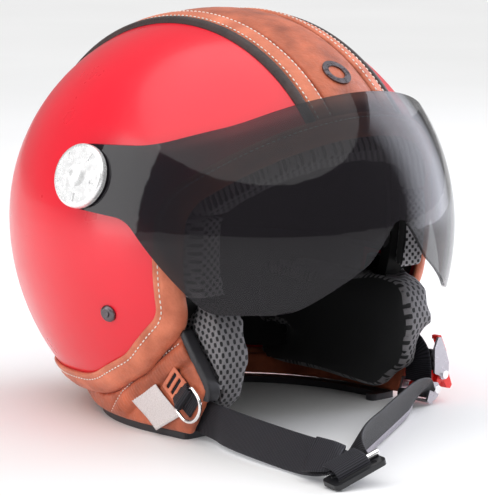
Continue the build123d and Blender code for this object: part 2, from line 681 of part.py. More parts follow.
with BuildPart() as ring_loop:
    with BuildSketch(loop_plane):
        Circle(LOOP_OUT)
        Polygon((0, LOOP_OUT), (-7, -0.6), (-7, -3), (0, -LOOP_OUT), align=None)
        Circle(LOOP_BORE, mode=Mode.SUBTRACT)
    extrude(amount=LOOP_WIDTH / 2, both=True)
    add(skirt_body(0), mode=Mode.SUBTRACT)
    add(skirt_patch(0, LOOP_LAYER, ring_footprint(1, 9, LOOP_WIDTH)))
    add(skirt_patch(0, LOOP_LAYER, ring_footprint(-17, -1.4, LOOP_WIDTH)))
finish(ring_loop.part, "ring_loop")

with BuildPart() as ring_tab:
    add(skirt_patch(LOOP_LAYER, TAB_LAYER, ring_footprint(-17.5, -4.5, LOOP_WIDTH + 1)))
    for u in (-9.2, -13.8):
        add(ring_footprint(u - 1.1, u + 1.1, 13), mode=Mode.SUBTRACT)
    add(ring_loop.part, mode=Mode.SUBTRACT)
finish(ring_tab.part, "ring_tab")

LABEL_SIDE = [(-34.9, 32.5), (-12.7, 18.6), (-33.1, 3.2), (-55.6, 15.4)]
finish(skirt_patch(0.2, 0.9, side_block(LABEL_SIDE, 0.5, -130, 0)), "blank_label")
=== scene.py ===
import math
import bmesh
import bpy
from mathutils import Matrix, Vector, noise


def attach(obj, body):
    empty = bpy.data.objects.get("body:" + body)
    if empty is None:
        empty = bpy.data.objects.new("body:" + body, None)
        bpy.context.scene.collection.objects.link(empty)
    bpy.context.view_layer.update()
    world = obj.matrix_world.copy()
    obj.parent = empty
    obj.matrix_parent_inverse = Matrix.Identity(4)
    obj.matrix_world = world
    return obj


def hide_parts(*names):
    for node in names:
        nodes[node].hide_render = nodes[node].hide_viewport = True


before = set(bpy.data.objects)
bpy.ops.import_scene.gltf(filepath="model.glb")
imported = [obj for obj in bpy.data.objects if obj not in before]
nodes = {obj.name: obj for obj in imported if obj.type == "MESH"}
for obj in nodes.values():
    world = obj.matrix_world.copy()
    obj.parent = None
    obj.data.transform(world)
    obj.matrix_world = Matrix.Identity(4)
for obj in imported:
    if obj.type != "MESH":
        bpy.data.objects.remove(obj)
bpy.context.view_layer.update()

scene = bpy.context.scene
MM = 0.001
SIDES = (("right", -1), ("left", 1))

# Camera, at the photograph's viewing angle

camera = bpy.data.objects.new("camera", bpy.data.cameras.new("camera"))
scene.collection.objects.link(camera)
camera.matrix_world = Matrix((
    (0.71877, 0.10348, -0.68750, -1.1516),
    (-0.69525, 0.10698, -0.71076, -1.2006),
    (0.0, 0.98886, 0.14884, 0.3488),
    (0, 0, 0, 1),
))
camera.data.lens = 198.0
camera.data.sensor_width = 36.0
camera.data.clip_end = 50
scene.camera = camera

# Materials


def node(tree, kind, inputs=None, **props):
    """One shader node; inputs are constants or sockets to link."""
    n = tree.nodes.new("ShaderNode" + kind)
    for key, value in props.items():
        setattr(n, key, value)
    for key, value in (inputs or {}).items():
        if isinstance(value, bpy.types.NodeSocket):
            tree.links.new(value, n.inputs[key])
        else:
            n.inputs[key].default_value = value
    return n


def calc(tree, op, a, b=0.0):
    return node(tree, "Math", {0: a, 1: b}, operation=op).outputs[0]


def material(name, color, roughness, **sockets):
    """A Principled material with constant sockets."""
    m = bpy.data.materials.new(name)
    m.use_nodes = True
    m.diffuse_color = (*color, 1)
    shader = m.node_tree.nodes["Principled BSDF"]
    shader.inputs["Base Color"].default_value = (*color, 1)
    shader.inputs["Roughness"].default_value = roughness
    for key, value in sockets.items():
        shader.inputs[key.replace("_", " ")].default_value = value
    return m


def shader_of(m):
    return m.node_tree.nodes["Principled BSDF"]


def coords(m):
    return node(m.node_tree, "TexCoord").outputs["Object"]


def noise_of(m, scale, detail=4.0, where=None):
    inputs = {"Vector": where or coords(m), "Scale": scale, "Detail": detail}
    return node(m.node_tree, "TexNoise", inputs).outputs["Fac"]


def tint(m, factor, low, high):
    """Base colour runs from low to high with a 0-1 factor."""
    t = m.node_tree
    ramp = node(t, "ValToRGB", {"Fac": factor})
    ramp.color_ramp.elements[0].color = (*low, 1)
    ramp.color_ramp.elements[1].color = (*high, 1)
    ramp.color_ramp.elements[0].position = 0.3
    ramp.color_ramp.elements[1].position = 0.7
    t.links.new(ramp.outputs["Color"], shader_of(m).inputs["Base Color"])
    return ramp


def bump(m, height, strength, distance):
    """Adds a bump on top of any earlier one."""
    t = m.node_tree
    target = shader_of(m).inputs["Normal"]
    b = node(t, "Bump", {"Height": height, "Strength": strength, "Distance": distance})
    if target.is_linked:
        t.links.new(target.links[0].from_socket, b.inputs["Normal"])
    t.links.new(b.outputs["Normal"], target)


def rough_range(m, factor, low, high):
    t = m.node_tree
    limits = {"Value": factor, "From Min": 0.3, "From Max": 0.7, "To Min": low, "To Max": high}
    span = node(t, "MapRange", limits)
    t.links.new(span.outputs["Result"], shader_of(m).inputs["Roughness"])


def lacquer():
    m = material("red_lacquer", (0.82, 0.005, 0.022), 0.34, Coat_Weight=0.35, Coat_Roughness=0.16)
    tint(m, noise_of(m, 9), (0.78, 0.004, 0.020), (0.86, 0.006, 0.028))
    rough_range(m, noise_of(m, 40), 0.27, 0.34)
    bump(m, noise_of(m, 900, 2), 0.02, 0.0002)
    return m


def leather(name, low, high, crease=0.35):
    """Grained leather: pebbles, fine pores, broad mottling and soft creases."""
    m = material(name, high, 0.5, Specular_IOR_Level=0.45, Sheen_Weight=0.1)
    t = m.node_tree
    where = coords(m)
    tint(m, noise_of(m, 55, 6, where), low, high)
    pebbles = node(t, "TexVoronoi", {"Vector": where, "Scale": 780.0}, feature="SMOOTH_F1")
    bump(m, pebbles.outputs["Distance"], 0.35, 0.0006)
    bump(m, noise_of(m, 2200, 3, where), 0.15, 0.0002)
    bump(m, noise_of(m, 130, 3, where), crease, 0.0015)
    rough_range(m, noise_of(m, 300, 3, where), 0.40, 0.60)
    return m


def weave_parts(m):
    """The two weave coordinates that soft pieces carry, in millimetres."""
    t = m.node_tree
    found = node(t, "Attribute", attribute_name="weave")
    split = node(t, "SeparateXYZ", {"Vector": found.outputs["Vector"]})
    return split.outputs["X"], split.outputs["Y"], split.outputs["Z"]


def air_mesh(name, strand, hole, pitch):
    """Spacer mesh: rows of round holes, every other row shifted by half a pitch."""
    m = material(name, strand, 0.7, Sheen_Weight=0.1)
    t = m.node_tree
    u, v, toward_head = weave_parts(m)
    k = 2 * math.pi / pitch
    first = calc(t, "COSINE", calc(t, "MULTIPLY", calc(t, "ADD", u, v), k * 0.5))
    second = calc(t, "COSINE", calc(t, "MULTIPLY", calc(t, "SUBTRACT", u, v), k * 0.5))
    lattice = calc(t, "ADD", first, second)
    hollow = node(t, "MapRange", {"Value": lattice, "From Min": 0.2, "From Max": 0.75}).outputs["Result"]
    # Faces turned towards the wearer's head take the dark hole colour and lose the hole bump.
    head_side_dark = node(t, "MapRange", {"Value": toward_head, "From Min": 0.78, "From Max": 0.80}).outputs["Result"]
    hollow = calc(t, "MAXIMUM", hollow, head_side_dark)
    thread = noise_of(m, 1800, 2)
    ramp = node(t, "ValToRGB", {"Fac": thread})
    ramp.color_ramp.elements[0].color = (*[c * 0.7 for c in strand], 1)
    ramp.color_ramp.elements[1].color = (*[min(1, c * 1.2) for c in strand], 1)
    mixed = node(t, "Mix", {"Factor": hollow, 6: ramp.outputs["Color"], 7: (*hole, 1)}, data_type="RGBA")
    t.links.new(mixed.outputs[2], shader_of(m).inputs["Base Color"])
    bump(m, calc(t, "SUBTRACT", 1.0, hollow), 0.9, 0.0012)
    bump(m, thread, 0.3, 0.0003)
    return m


def webbing(name, low, high, rib=1.25):
    """Woven tape: ribs across it and finer threads along it."""
    m = material(name, low, 0.55, Sheen_Weight=0.04, Sheen_Roughness=0.4, Specular_IOR_Level=0.25)
    t = m.node_tree
    u, v, _ = weave_parts(m)
    across = calc(t, "SINE", calc(t, "MULTIPLY", u, 2 * math.pi / rib))
    along = calc(t, "SINE", calc(t, "MULTIPLY", v, 2 * math.pi / 0.9))
    ridge = calc(t, "ADD", calc(t, "MULTIPLY", across, 0.35), calc(t, "MULTIPLY", along, 0.15))
    ridge = calc(t, "ADD", ridge, 0.5)
    tint(m, ridge, low, high)
    bump(m, ridge, 0.6, 0.0005)
    return m


def cloth(name, low, high, scale=700):
    """Soft knitted lining."""
    m = material(name, low, 0.85, Sheen_Weight=0.08)
    where = coords(m)
    tint(m, noise_of(m, scale, 2, where), low, high)
    bump(m, noise_of(m, scale, 2, where), 0.5, 0.0006)
    return m


def moulded(name, color, roughness=0.4, **sockets):
    """Moulded plastic or rubber with a fine spark texture."""
    m = material(name, color, roughness, **sockets)
    rough_range(m, noise_of(m, 60), roughness * 0.85, roughness * 1.15)
    tint(m, noise_of(m, 25), [c * 0.85 for c in color], [min(1, c * 1.1) for c in color])
    bump(m, noise_of(m, 1500, 2), 0.15, 0.0002)
    return m


def metal(name, color, roughness, metallic=1.0):
    """Polished or brushed metal, finely streaked."""
    m = material(name, color, roughness, Metallic=metallic)
    rough_range(m, noise_of(m, 350, 3), roughness * 0.7, roughness * 1.4)
    bump(m, noise_of(m, 900, 2), 0.03, 0.0001)
    return m


red = lacquer()
brown = leather("brown_leather", (0.30, 0.066, 0.026), (0.64, 0.155, 0.068))
brown_light = leather("tan_leather", (0.46, 0.11, 0.05), (0.78, 0.23, 0.12), crease=0.25)
dark = leather("dark_piping_leather", (0.020, 0.010, 0.010), (0.050, 0.028, 0.026), crease=0.2)
pad_mesh = air_mesh("pad_mesh", (0.20, 0.19, 0.20), (0.004, 0.004, 0.005), 2.6)
brow_mesh = air_mesh("brow_mesh", (0.42, 0.40, 0.42), (0.004, 0.004, 0.005), 2.4)
lining = cloth("black_lining", (0.006, 0.006, 0.007), (0.018, 0.018, 0.020))
foam = moulded("black_foam", (0.012, 0.012, 0.012), 0.8)
tape = webbing("black_webbing", (0.004, 0.004, 0.006), (0.026, 0.025, 0.033))
chin_cloth = webbing("black_chin_cover", (0.004, 0.004, 0.005), (0.014, 0.013, 0.017), rib=1.6)
edge_tape = webbing("grey_edge_tape", (0.20, 0.18, 0.21), (0.42, 0.39, 0.44), rib=1.4)
rubber = moulded("black_rubber", (0.022, 0.021, 0.025), 0.45)
plastic = moulded("black_plastic", (0.010, 0.010, 0.012), 0.35)
red_plastic = moulded("red_plastic", (0.80, 0.015, 0.010), 0.3, Coat_Weight=0.3)
chrome = metal("chrome", (0.90, 0.90, 0.91), 0.08)
silver = metal("silver_finish", (0.92, 0.92, 0.92), 0.24, metallic=0.55)
satin = metal("satin_steel", (0.50, 0.48, 0.52), 0.34)
gunmetal = metal("dark_steel", (0.16, 0.14, 0.15), 0.30)
bright = metal("bright_steel", (0.88, 0.87, 0.86), 0.16)
thread = material("white_thread", (0.86, 0.82, 0.76), 0.7)
bump(thread, noise_of(thread, 3000, 2), 0.5, 0.0002)
label_cloth = cloth("label_cloth", (0.62, 0.56, 0.55), (0.80, 0.75, 0.74), 1600)
smoke = material("smoke_visor", (0.010, 0.008, 0.011), 0.04, Specular_IOR_Level=0.4)
rough_range(smoke, noise_of(smoke, 6), 0.035, 0.055)
# The tint is deepest at the arms and thins towards the middle of the visor.
visor_place = node(smoke.node_tree, "SeparateXYZ", {"Vector": coords(smoke)})
visor_tint = node(smoke.node_tree, "MapRange", {
    "Value": visor_place.outputs["Y"], "From Min": -0.085, "From Max": -0.035, "To Min": 0.64, "To Max": 0.95,
})
smoke.node_tree.links.new(visor_tint.outputs["Result"], shader_of(smoke).inputs["Alpha"])

# Head form, in millimetres, as the CAD has it

HALF_WIDTH, HALF_LENGTH, RISE, DROP = 125.0, 141.35, 128.7, 140.6
CENTRE_Y, WIDEST_Z = 8.35, 116.0
EDGE = [(-170, 241.2), (-53.5, 145.2), (-51, 76), (-22, 49), (18, 30), (60, 28), (170, 28)]
EDGE_RADII = [38, 15, 40, 60, 60]
BROW_SLOPE = (EDGE[0][1] - EDGE[1][1]) / (EDGE[0][0] - EDGE[1][0])


def room(y, z, grow):
    """Positive inside the side outline of the swollen head form."""
    half = (RISE if z > WIDEST_Z else DROP) + grow
    return 1 - ((y - CENTRE_Y) / (HALF_LENGTH + grow)) ** 2 - ((z - WIDEST_Z) / half) ** 2


def head_point(side, y, z, grow):
    return Vector((side * (HALF_WIDTH + grow) * math.sqrt(max(room(y, z, grow), 0)), y, z))


def head_normal(p):
    half = RISE if p.z > WIDEST_Z else DROP
    n = Vector((p.x / HALF_WIDTH**2, (p.y - CENTRE_Y) / HALF_LENGTH**2, (p.z - WIDEST_Z) / half**2))
    return n.normalized()


def rounded(corners, radii, step=1.0):
    """Dense points and right-hand normals along a line with rounded corners."""
    corners = [Vector(c) for c in corners]
    out = []

    def run(a, b):
        d = (b - a).normalized()
        count = max(2, int((b - a).length / step))
        for i in range(count):
            out.append((a.lerp(b, i / count), Vector((d.y, -d.x))))

    start = corners[0]
    for i in range(1, len(corners) - 1):
        a, c, b = corners[i - 1], corners[i], corners[i + 1]
        d0, d1 = (c - a).normalized(), (b - c).normalized()
        turn = d0.angle_signed(d1)
        reach = radii[i - 1] * math.tan(abs(turn) / 2)
        run(start, c - d0 * reach)
        sense = -1 if turn > 0 else 1
        centre = c - d0 * reach + Vector((-d0.y, d0.x)) * radii[i - 1] * sense
        arm = (c - d0 * reach) - centre
        count = max(2, int(abs(turn) * radii[i - 1] / step))
        for j in range(count):
            angle = sense * abs(turn) * j / count
            spoke = Matrix.Rotation(angle, 2) @ arm
            heading = Matrix.Rotation(angle, 2) @ d0
            out.append((centre + spoke, Vector((heading.y, -heading.x))))
        start = c + d1 * reach
    run(start, corners[-1])
    return out


EDGE_LINE = rounded(EDGE, EDGE_RADII)


def resample(points, count):
    """count points at equal steps along a polyline."""
    lengths = [0.0]
    for a, b in zip(points, points[1:]):
        lengths.append(lengths[-1] + (b - a).length)
    out, i = [], 0
    for k in range(count):
        want = lengths[-1] * k / (count - 1)
        while i < len(points) - 2 and lengths[i + 1] < want:
            i += 1
        span = max(lengths[i + 1] - lengths[i], 1e-9)
        out.append(points[i].lerp(points[i + 1], (want - lengths[i]) / span))
    return out


def edge_half(step, grow, count, side=-1):
    """The helmet's edge on one side, from the brow's middle to the nape's."""
    flat = [p + n * step for p, n in EDGE_LINE]
    inside = [room(p.x, p.y, grow) > 0 for p in flat]
    first = inside.index(True)
    last = len(inside) - 1 - inside[::-1].index(True)

    def crossing(outer, inner):
        for _ in range(30):
            middle = (outer + inner) / 2
            if room(middle.x, middle.y, grow) > 0:
                inner = middle
            else:
                outer = middle
        return inner

    ends = crossing(flat[first - 1], flat[first]), crossing(flat[last + 1], flat[last])
    line = [ends[0], *flat[first:last + 1], ends[1]]
    return resample([head_point(side, p.x, p.y, grow) for p in line], count)


def edge_loop(step, grow, count=230):
    right = edge_half(step, grow, count)
    left = [Vector((-p.x, p.y, p.z)) for p in reversed(right[1:-1])]
    return right + left


def crown_line(x, grow, count=150):
    """Front to back over the crown at a constant x, from the brow trim to the nape trim."""
    shrink = math.sqrt(1 - (x / (HALF_WIDTH + grow)) ** 2)

    def at(angle):
        half = (RISE if math.sin(angle) > 0 else DROP) + grow
        return Vector((x, CENTRE_Y - (HALF_LENGTH + grow) * shrink * math.cos(angle),
                       WIDEST_Z + half * shrink * math.sin(angle)))

    low, high = math.radians(10), math.radians(90)
    for _ in range(40):
        middle = (low + high) / 2
        p = at(middle)
        if p.z > EDGE[1][1] + (p.y - EDGE[1][0]) * BROW_SLOPE:
            high = middle
        else:
            low = middle
    end = math.pi + math.asin((WIDEST_Z - 29.5) / ((DROP + grow) * shrink))
    return resample([at(high + (end - high) * i / 400) for i in range(401)], count)


# Mesh helpers


def make(name, verts, faces, mat, body="helmet", scale=MM):
    """A smooth-shaded mesh piece that rides on a body."""
    mesh = bpy.data.meshes.new(name)
    mesh.from_pydata([Vector(v) * scale for v in verts], [], faces)
    bm = bmesh.new()
    bm.from_mesh(mesh)
    bmesh.ops.recalc_face_normals(bm, faces=bm.faces)
    bm.to_mesh(mesh)
    bm.free()
    mesh.materials.append(mat)
    mesh.shade_smooth()
    piece = bpy.data.objects.new(name, mesh)
    scene.collection.objects.link(piece)
    if body:
        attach(piece, body)
    return piece


def lofted(name, lines, mat, closed, **more):
    """A closed tube whose lengthwise lines are given round its section."""
    count, around = len(lines[0]), len(lines)
    verts = [p for line in lines for p in line]
    faces = []
    for j in range(around):
        k = (j + 1) % around
        for i in range(count if closed else count - 1):
            n = (i + 1) % count
            faces.append((j * count + i, j * count + n, k * count + n, k * count + i))
    if not closed:
        faces.append([j * count for j in range(around)])
        faces.append([j * count + count - 1 for j in range(around)])
    return make(name, verts, faces, mat, **more)


def set_weave(piece, rule):
    """Stores weave coordinates in millimetres, and how far each vertex faces the wearer's head."""
    layer = piece.data.attributes.new("weave", "FLOAT_VECTOR", "POINT")
    for i, v in enumerate(piece.data.vertices):
        a, b = rule(v.co / MM)
        layer.data[i].vector = (a, b, -v.normal.x * math.copysign(1, v.co.x))


def bake(piece):
    """Applies a piece's modifiers to its mesh."""
    graph = bpy.context.evaluated_depsgraph_get()
    mesh = bpy.data.meshes.new_from_object(piece.evaluated_get(graph))
    piece.modifiers.clear()
    piece.data = mesh


def puff(piece, cap, pressure=4.0):
    """Inflates a closed piece like a stuffed cover, moving no point further than cap."""
    for v in piece.data.vertices:
        v.co -= v.normal * cap * 0.6
    start = [v.co.copy() for v in piece.data.vertices]
    swell = piece.modifiers.new("Cloth", "CLOTH")
    swell.settings.use_pressure = True
    swell.settings.uniform_pressure_force = pressure
    swell.settings.effector_weights.gravity = 0
    for f in range(1, 21):
        scene.frame_set(f)
    bake(piece)
    for v, home in zip(piece.data.vertices, start):
        move = v.co - home
        if move.length > cap:
            v.co = home + move * (cap / move.length)
    scene.frame_set(1)


def soft(name, sources, voxel, mat, cap=0.0, smooth=6, shape=None, weave=None):
    """A soft piece grown from the room its CAD solids hold."""
    bm = bmesh.new()
    for source in sources:
        bm.from_mesh(nodes[source].data)
    mesh = bpy.data.meshes.new(name)
    bm.to_mesh(mesh)
    bm.free()
    piece = bpy.data.objects.new(name, mesh)
    scene.collection.objects.link(piece)
    remesh = piece.modifiers.new("Remesh", "REMESH")
    remesh.mode = "VOXEL"
    remesh.voxel_size = voxel * MM
    bake(piece)
    if cap:
        puff(piece, cap * MM)
    even = piece.modifiers.new("Smooth", "SMOOTH")
    even.factor = 0.5
    even.iterations = smooth
    finer = piece.modifiers.new("Finer", "SUBSURF")
    finer.levels = finer.render_levels = 1
    bake(piece)
    if shape:
        moves = [shape(v.co / MM, v.normal) for v in piece.data.vertices]
        for v, move in zip(piece.data.vertices, moves):
            v.co += move * MM
    if weave:
        set_weave(piece, weave)
    piece.data.materials.clear()
    piece.data.materials.append(mat)
    piece.data.shade_smooth()
    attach(piece, "helmet")
    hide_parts(*sources)
    return piece


def stitches(name, line, pitch=3.5, length=2.4, radius=0.42, normal=head_normal, rise=0.1):
    """A row of sewn stitches along a line."""
    total = sum((b - a).length for a, b in zip(line, line[1:]))
    count = max(2, int(total / pitch)) * 2 + 1
    marks = resample(line, count)
    bm = bmesh.new()
    for i in range(1, count - 1, 2):
        along = (marks[i + 1] - marks[i - 1]).normalized()
        up = normal(marks[i])
        up = (up - along * up.dot(along)).normalized()
        turn = Matrix((up.cross(along), along, up)).transposed().to_4x4()
        shape = Matrix.Diagonal((radius, length / 2, radius, 1))
        bmesh.ops.create_uvsphere(
            bm, u_segments=8, v_segments=6, radius=1,
            matrix=Matrix.Translation(marks[i] + up * rise) @ turn @ shape,
        )
    for v in bm.verts:
        v.co *= MM
    mesh = bpy.data.meshes.new(name)
    bm.to_mesh(mesh)
    bm.free()
    mesh.materials.append(thread)
    mesh.shade_smooth()
    piece = bpy.data.objects.new(name, mesh)
    scene.collection.objects.link(piece)
    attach(piece, "helmet")
    return piece


# Leather edge trim: one padded roll round the opening and the bottom edge

TRIM_PROFILE = [
    (-0.2, 0.15), (0.1, 1.4), (1.1, 2.3), (2.5, 2.6), (3.6, 2.25), (4.2, 2.2), (5.0, 2.5), (7.2, 3.0),
    (9.6, 2.9), (11.8, 2.2), (13.3, 0.9), (13.9, -1.2), (13.6, -3.4), (12.6, -4.6), (10.6, -4.8),
    (9.15, -4.4), (9.15, 0.1), (5.0, 0.1),
]


def wrinkled(line, amount, first=7, size=0.09):
    """Moves a line's points in and out a little, in soft puckers."""
    return [p + head_normal(p) * amount * noise.noise(p * size + Vector((first, 0, 0))) for p in line]


trim_lines = []
for step, grow in TRIM_PROFILE:
    pucker = 0.5 if 5 < step < 13 and grow > 0 else 0.0
    trim_lines.append(wrinkled(edge_loop(step, grow), pucker))
trim = lofted("leather_trim", trim_lines, brown_light, closed=True)
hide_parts("edge_trim")
trim_seam = edge_loop(3.9, 2.3)
stitches("trim_stitches", trim_seam + trim_seam[:1])

# Crown band: flat panel, two raised strips and two dark piping cords, each sewn along


def crown_piece(name, profile, mat, source, pucker=0.0):
    lines = [wrinkled(crown_line(x, grow), pucker if grow > 1 else 0, first=x) for x, grow in profile]
    piece = lofted(name, lines, mat, closed=False)
    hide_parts(source)
    return piece


def arch(x0, x1, base, top, count=9, edge=0.6):
    """A rounded section from x0 to x1, flat below."""
    section = []
    for i in range(count):
        f = i / (count - 1)
        section.append((x0 + (x1 - x0) * f, base + (top - base) * (1 - abs(2 * f - 1) ** 3) ** edge))
    return section + [(x1 + (x0 - x1) * f, 0.05) for f in (0.02, 0.5, 0.98)]


panel = crown_piece("crown_leather", arch(-21.7, 21.7, 0.6, 1.5, 15), brown, "crown_panel", 0.25)
for word, side in SIDES:
    profile = arch(side * 21.9, side * 33.7, 0.5, 2.7, 11)
    strip = crown_piece(f"raised_strip_{word}", profile, brown_light, f"crown_strip_{word}", 0.3)
    profile = arch(side * 33.8, side * 39.4, 0.3, 3.0, 9, 0.5)
    cord = crown_piece(f"piping_{word}", profile, dark, f"crown_piping_{word}")
    stitches(f"piping_stitches_{word}", crown_line(side * 32.4, 2.1))
    stitches(f"strip_stitches_{word}", crown_line(side * 24.2, 2.4))

# Neck skirt: padded leather with a sewn seam and a ribbed fold below it

SKIRT_LEVELS = [(0, 91.5, 108), (14, 94, 126), (38, 96.5, 135), (98, 99, 142)]
SKIRT_CENTRE_Y = -25.0
SEAM = [Vector(p) for p in (
    (-62, 62), (-49.3, 54.3), (-37.6, 46.4), (-21.9, 35.6), (-9.9, 27.4), (-1.8, 21.9), (11, 10), (20, 2),
)]
FOLD_WIDTH = 12.5


def skirt_size(z):
    for (z0, w0, l0), (z1, w1, l1) in zip(SKIRT_LEVELS, SKIRT_LEVELS[1:]):
        if z <= z1:
            f = (z - z0) / (z1 - z0)
            return w0 + (w1 - w0) * f, l0 + (l1 - l0) * f
    return SKIRT_LEVELS[-1][1:]


def skirt_outward(p):
    wide, long = skirt_size(p.z)
    back = max(p.y - SKIRT_CENTRE_Y, 0)
    return Vector((p.x / wide**2, back / long**2, 0)).normalized()


def skirt_fraction(p):
    wide, long = skirt_size(p.z)
    back = max(p.y - SKIRT_CENTRE_Y, 0)
    return math.hypot(p.x / wide, back / long)


def seam_place(p):
    """Distance below the seam and distance along it, of a point seen from the side."""
    q = Vector((p.y, p.z))
    best, run = None, 0.0
    for a, b in zip(SEAM, SEAM[1:]):
        d = (b - a).normalized()
        t = min(max((q - a).dot(d), 0), (b - a).length)
        gap = q - (a + d * t)
        if best is None or gap.length < best[2]:
            below = gap.dot(Vector((d.y, -d.x)))
            best = (math.copysign(gap.length, below), run + t, gap.length)
        run += (b - a).length
    return best[0], best[1]


def skirt_shape(p, normal):
    if skirt_fraction(p) < 0.955 or p.z < 5:
        return Vector((0, 0, 0))
    below, along = seam_place(p)
    fade = min(1, (p.z - 5) / 5)
    lift = 0.0
    if 0 < below < FOLD_WIDTH:
        lift = 2.6 * math.sin(math.pi * below / FOLD_WIDTH) ** 0.7
        lift += 0.22 * math.sin(along * 2 * math.pi / 2.6) * math.sin(math.pi * below / FOLD_WIDTH)
    lift -= 1.3 * math.exp(-((below - FOLD_WIDTH - 0.6) / 1.2) ** 2)
    lift -= 0.9 * math.exp(-(below / 1.0) ** 2)
    lift += 0.5 * noise.noise(p * 0.06)
    return skirt_outward(p) * lift * fade


skirt = soft("leather_skirt", ["neck_skirt"], 1.7, brown, smooth=5, shape=skirt_shape)
for word, side in SIDES:
    line = []
    for p in rounded(SEAM, [12] * 6):
        y, z = p[0]
        wide, long = skirt_size(z)
        back = max(y - SKIRT_CENTRE_Y, 0) / long
        line.append(Vector((side * wide * math.sqrt(1 - back * back), y, z)))
    line = [p for p in line if p.z > 5 and p.y > (-57 if side < 0 else -50)]
    stitches(f"skirt_stitches_{word}", line, pitch=3.0, length=2.1, normal=skirt_outward, rise=-0.3)

# Cheek pads, neck roll, brow band and temple pads

PAD_CENTRE = Vector((-20.0, 44.0))


def pad_weave(p):
    """Across the pad's thickness and round its rim."""
    angle = math.atan2(p.z - PAD_CENTRE.y, PAD_CENTRE.x - p.y)
    return math.hypot(p.y - PAD_CENTRE.x, p.z - PAD_CENTRE.y) - abs(p.x), angle * 50.0


def brow_weave(p):
    return p.x, 0.9 * p.y - 0.4 * p.z


def temple_weave(p):
    return p.z, (p.y - abs(p.x)) * 0.9


for word, side in SIDES:
    pad = soft(f"cheek_pad_mesh_{word}", [f"cheek_pad_{word}"], 4.0, pad_mesh, cap=6, smooth=4,
               weave=pad_weave)
    temple = soft(f"temple_mesh_{word}", [f"temple_pad_{word}"], 2.4, brow_mesh, smooth=5,
                  weave=temple_weave)
    welt = soft(f"welt_{word}", [f"front_welt_{word}"], 1.0, rubber, smooth=4)
brow = soft("brow_mesh_band", ["brow_band"], 3.0, brow_mesh, smooth=5, weave=brow_weave)
roll = soft("neck_roll_pad", ["neck_roll"], 4.0, lining, cap=5, smooth=4)
crown_lining = soft("crown_lining", ["crown_liner"], 3.0, lining, smooth=3)

# Webbing, as smooth tapes through the same stations as the CAD


def spline(values, samples):
    """Catmull-Rom curve through vectors."""
    ends = [values[0] * 2 - values[1], *values, values[-1] * 2 - values[-2]]
    out = []
    for i in range(1, len(ends) - 2):
        a, b, c, d = ends[i - 1:i + 3]
        for k in range(samples):
            t = k / samples
            out.append(0.5 * (2 * b + (c - a) * t + (2 * a - 5 * b + 4 * c - d) * t * t
                              + (3 * b - a - 3 * c + d) * t**3))
    return out + [values[-1]]


def strap_piece(name, stations, width, thickness, mat, sources, crown=0.0, samples=8):
    """A flat tape with rounded edges; crown thickens its middle like padding."""
    points = spline([Vector(p) for p, _ in stations], samples)
    across = spline([Vector(a).normalized() for _, a in stations], samples)
    section = []
    for i in range(20):
        angle = 2 * math.pi * i / 20
        c, s = math.cos(angle), math.sin(angle)
        u = math.copysign(abs(c) ** 0.35, c) * width / 2
        thick = thickness + crown * (1 - (2 * u / width) ** 2)
        section.append((u, math.copysign(abs(s) ** 0.6, s) * thick / 2))
    lines = [[] for _ in section]
    weave, run = [], 0.0
    for i, p in enumerate(points):
        along = (points[min(i + 1, len(points) - 1)] - points[max(i - 1, 0)]).normalized()
        wide = (across[i] - along * across[i].dot(along)).normalized()
        face = along.cross(wide)
        run += (p - points[i - 1]).length if i else 0
        weave.append(run)
        for line, (u, h) in zip(lines, section):
            line.append(p + wide * u + face * h)
    piece = lofted(name, lines, mat, closed=False)
    layer = piece.data.attributes.new("weave", "FLOAT_VECTOR", "POINT")
    for j, (u, _) in enumerate(section):
        for i, s in enumerate(weave):
            layer.data[j * len(points) + i].vector = (s, u, 0)
    if sources:
        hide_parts(*sources)
    return piece


def anchor_route(side):
    return [
        ((side * 112.0, -17.5, 84), (side * 0.178, 1, 0)),
        ((side * 106.8, -17.5, 66), (side * 0.178, 1, 0)),
        ((side * 95.5, -20.0, 50), (side * 0.1, 1, -0.1)),
    ]


ADJUSTER = Matrix.Translation((-102.5, -202.5, 8.2)) @ Matrix((
    (0.921, 0.183, -0.342), (-0.195, 0.981, 0.0), (0.335, 0.067, 0.940),
)).to_4x4()


def by_adjuster(x, y, z):
    return tuple(ADJUSTER @ Vector((x, y, z)))


strap_piece("side_strap_right", anchor_route(-1) + [
    ((-87.4, -28, 36), (0, 0.8, -0.6)),
    ((-86.0, -42, 24), (0, 0.5, -0.87)),
    ((-86.0, -58, 17), (0, 0.2, -1)),
    ((-87.4, -75, 14.2), (0, -0.1, -1)),
    ((-92.0, -92, 13.4), (-0.2, -0.1, -1)),
    ((-98.0, -122, 12.6), (-0.3, -0.2, -0.9)),
    ((-102.5, -158, 11.4), (-0.4, -0.2, -0.88)),
    ((-104.0, -177, 11.4), (-0.6, 0, -0.75)),
    ((-103.4, -187, 11.2), (-0.8, 0.15, -0.5)),
    (by_adjuster(-1, 10, 2.8), (-0.92, 0.195, -0.335)),
    (by_adjuster(-1, 4.4, 2.6), (-0.92, 0.195, -0.335)),
], 22, 1.6, tape, ["strap_right"])
strap_piece("side_strap_left", anchor_route(1) + [
    ((87.4, -28, 42), (0, 0.8, -0.6)),
    ((86.6, -40, 38.5), (0, 0.3, -0.95)),
    ((86.6, -60, 38.5), (0, 0, -1)),
    ((86.8, -69, 36), (0, 0.35, -0.9)),
    ((86.8, -75, 30.5), (0, 0.8, -0.6)),
    ((86.8, -76.5, 24), (0, 1, -0.1)),
    ((86.8, -76.5, 13.5), (0, 1, 0)),
], 21.6, 1.5, tape, ["strap_left"])
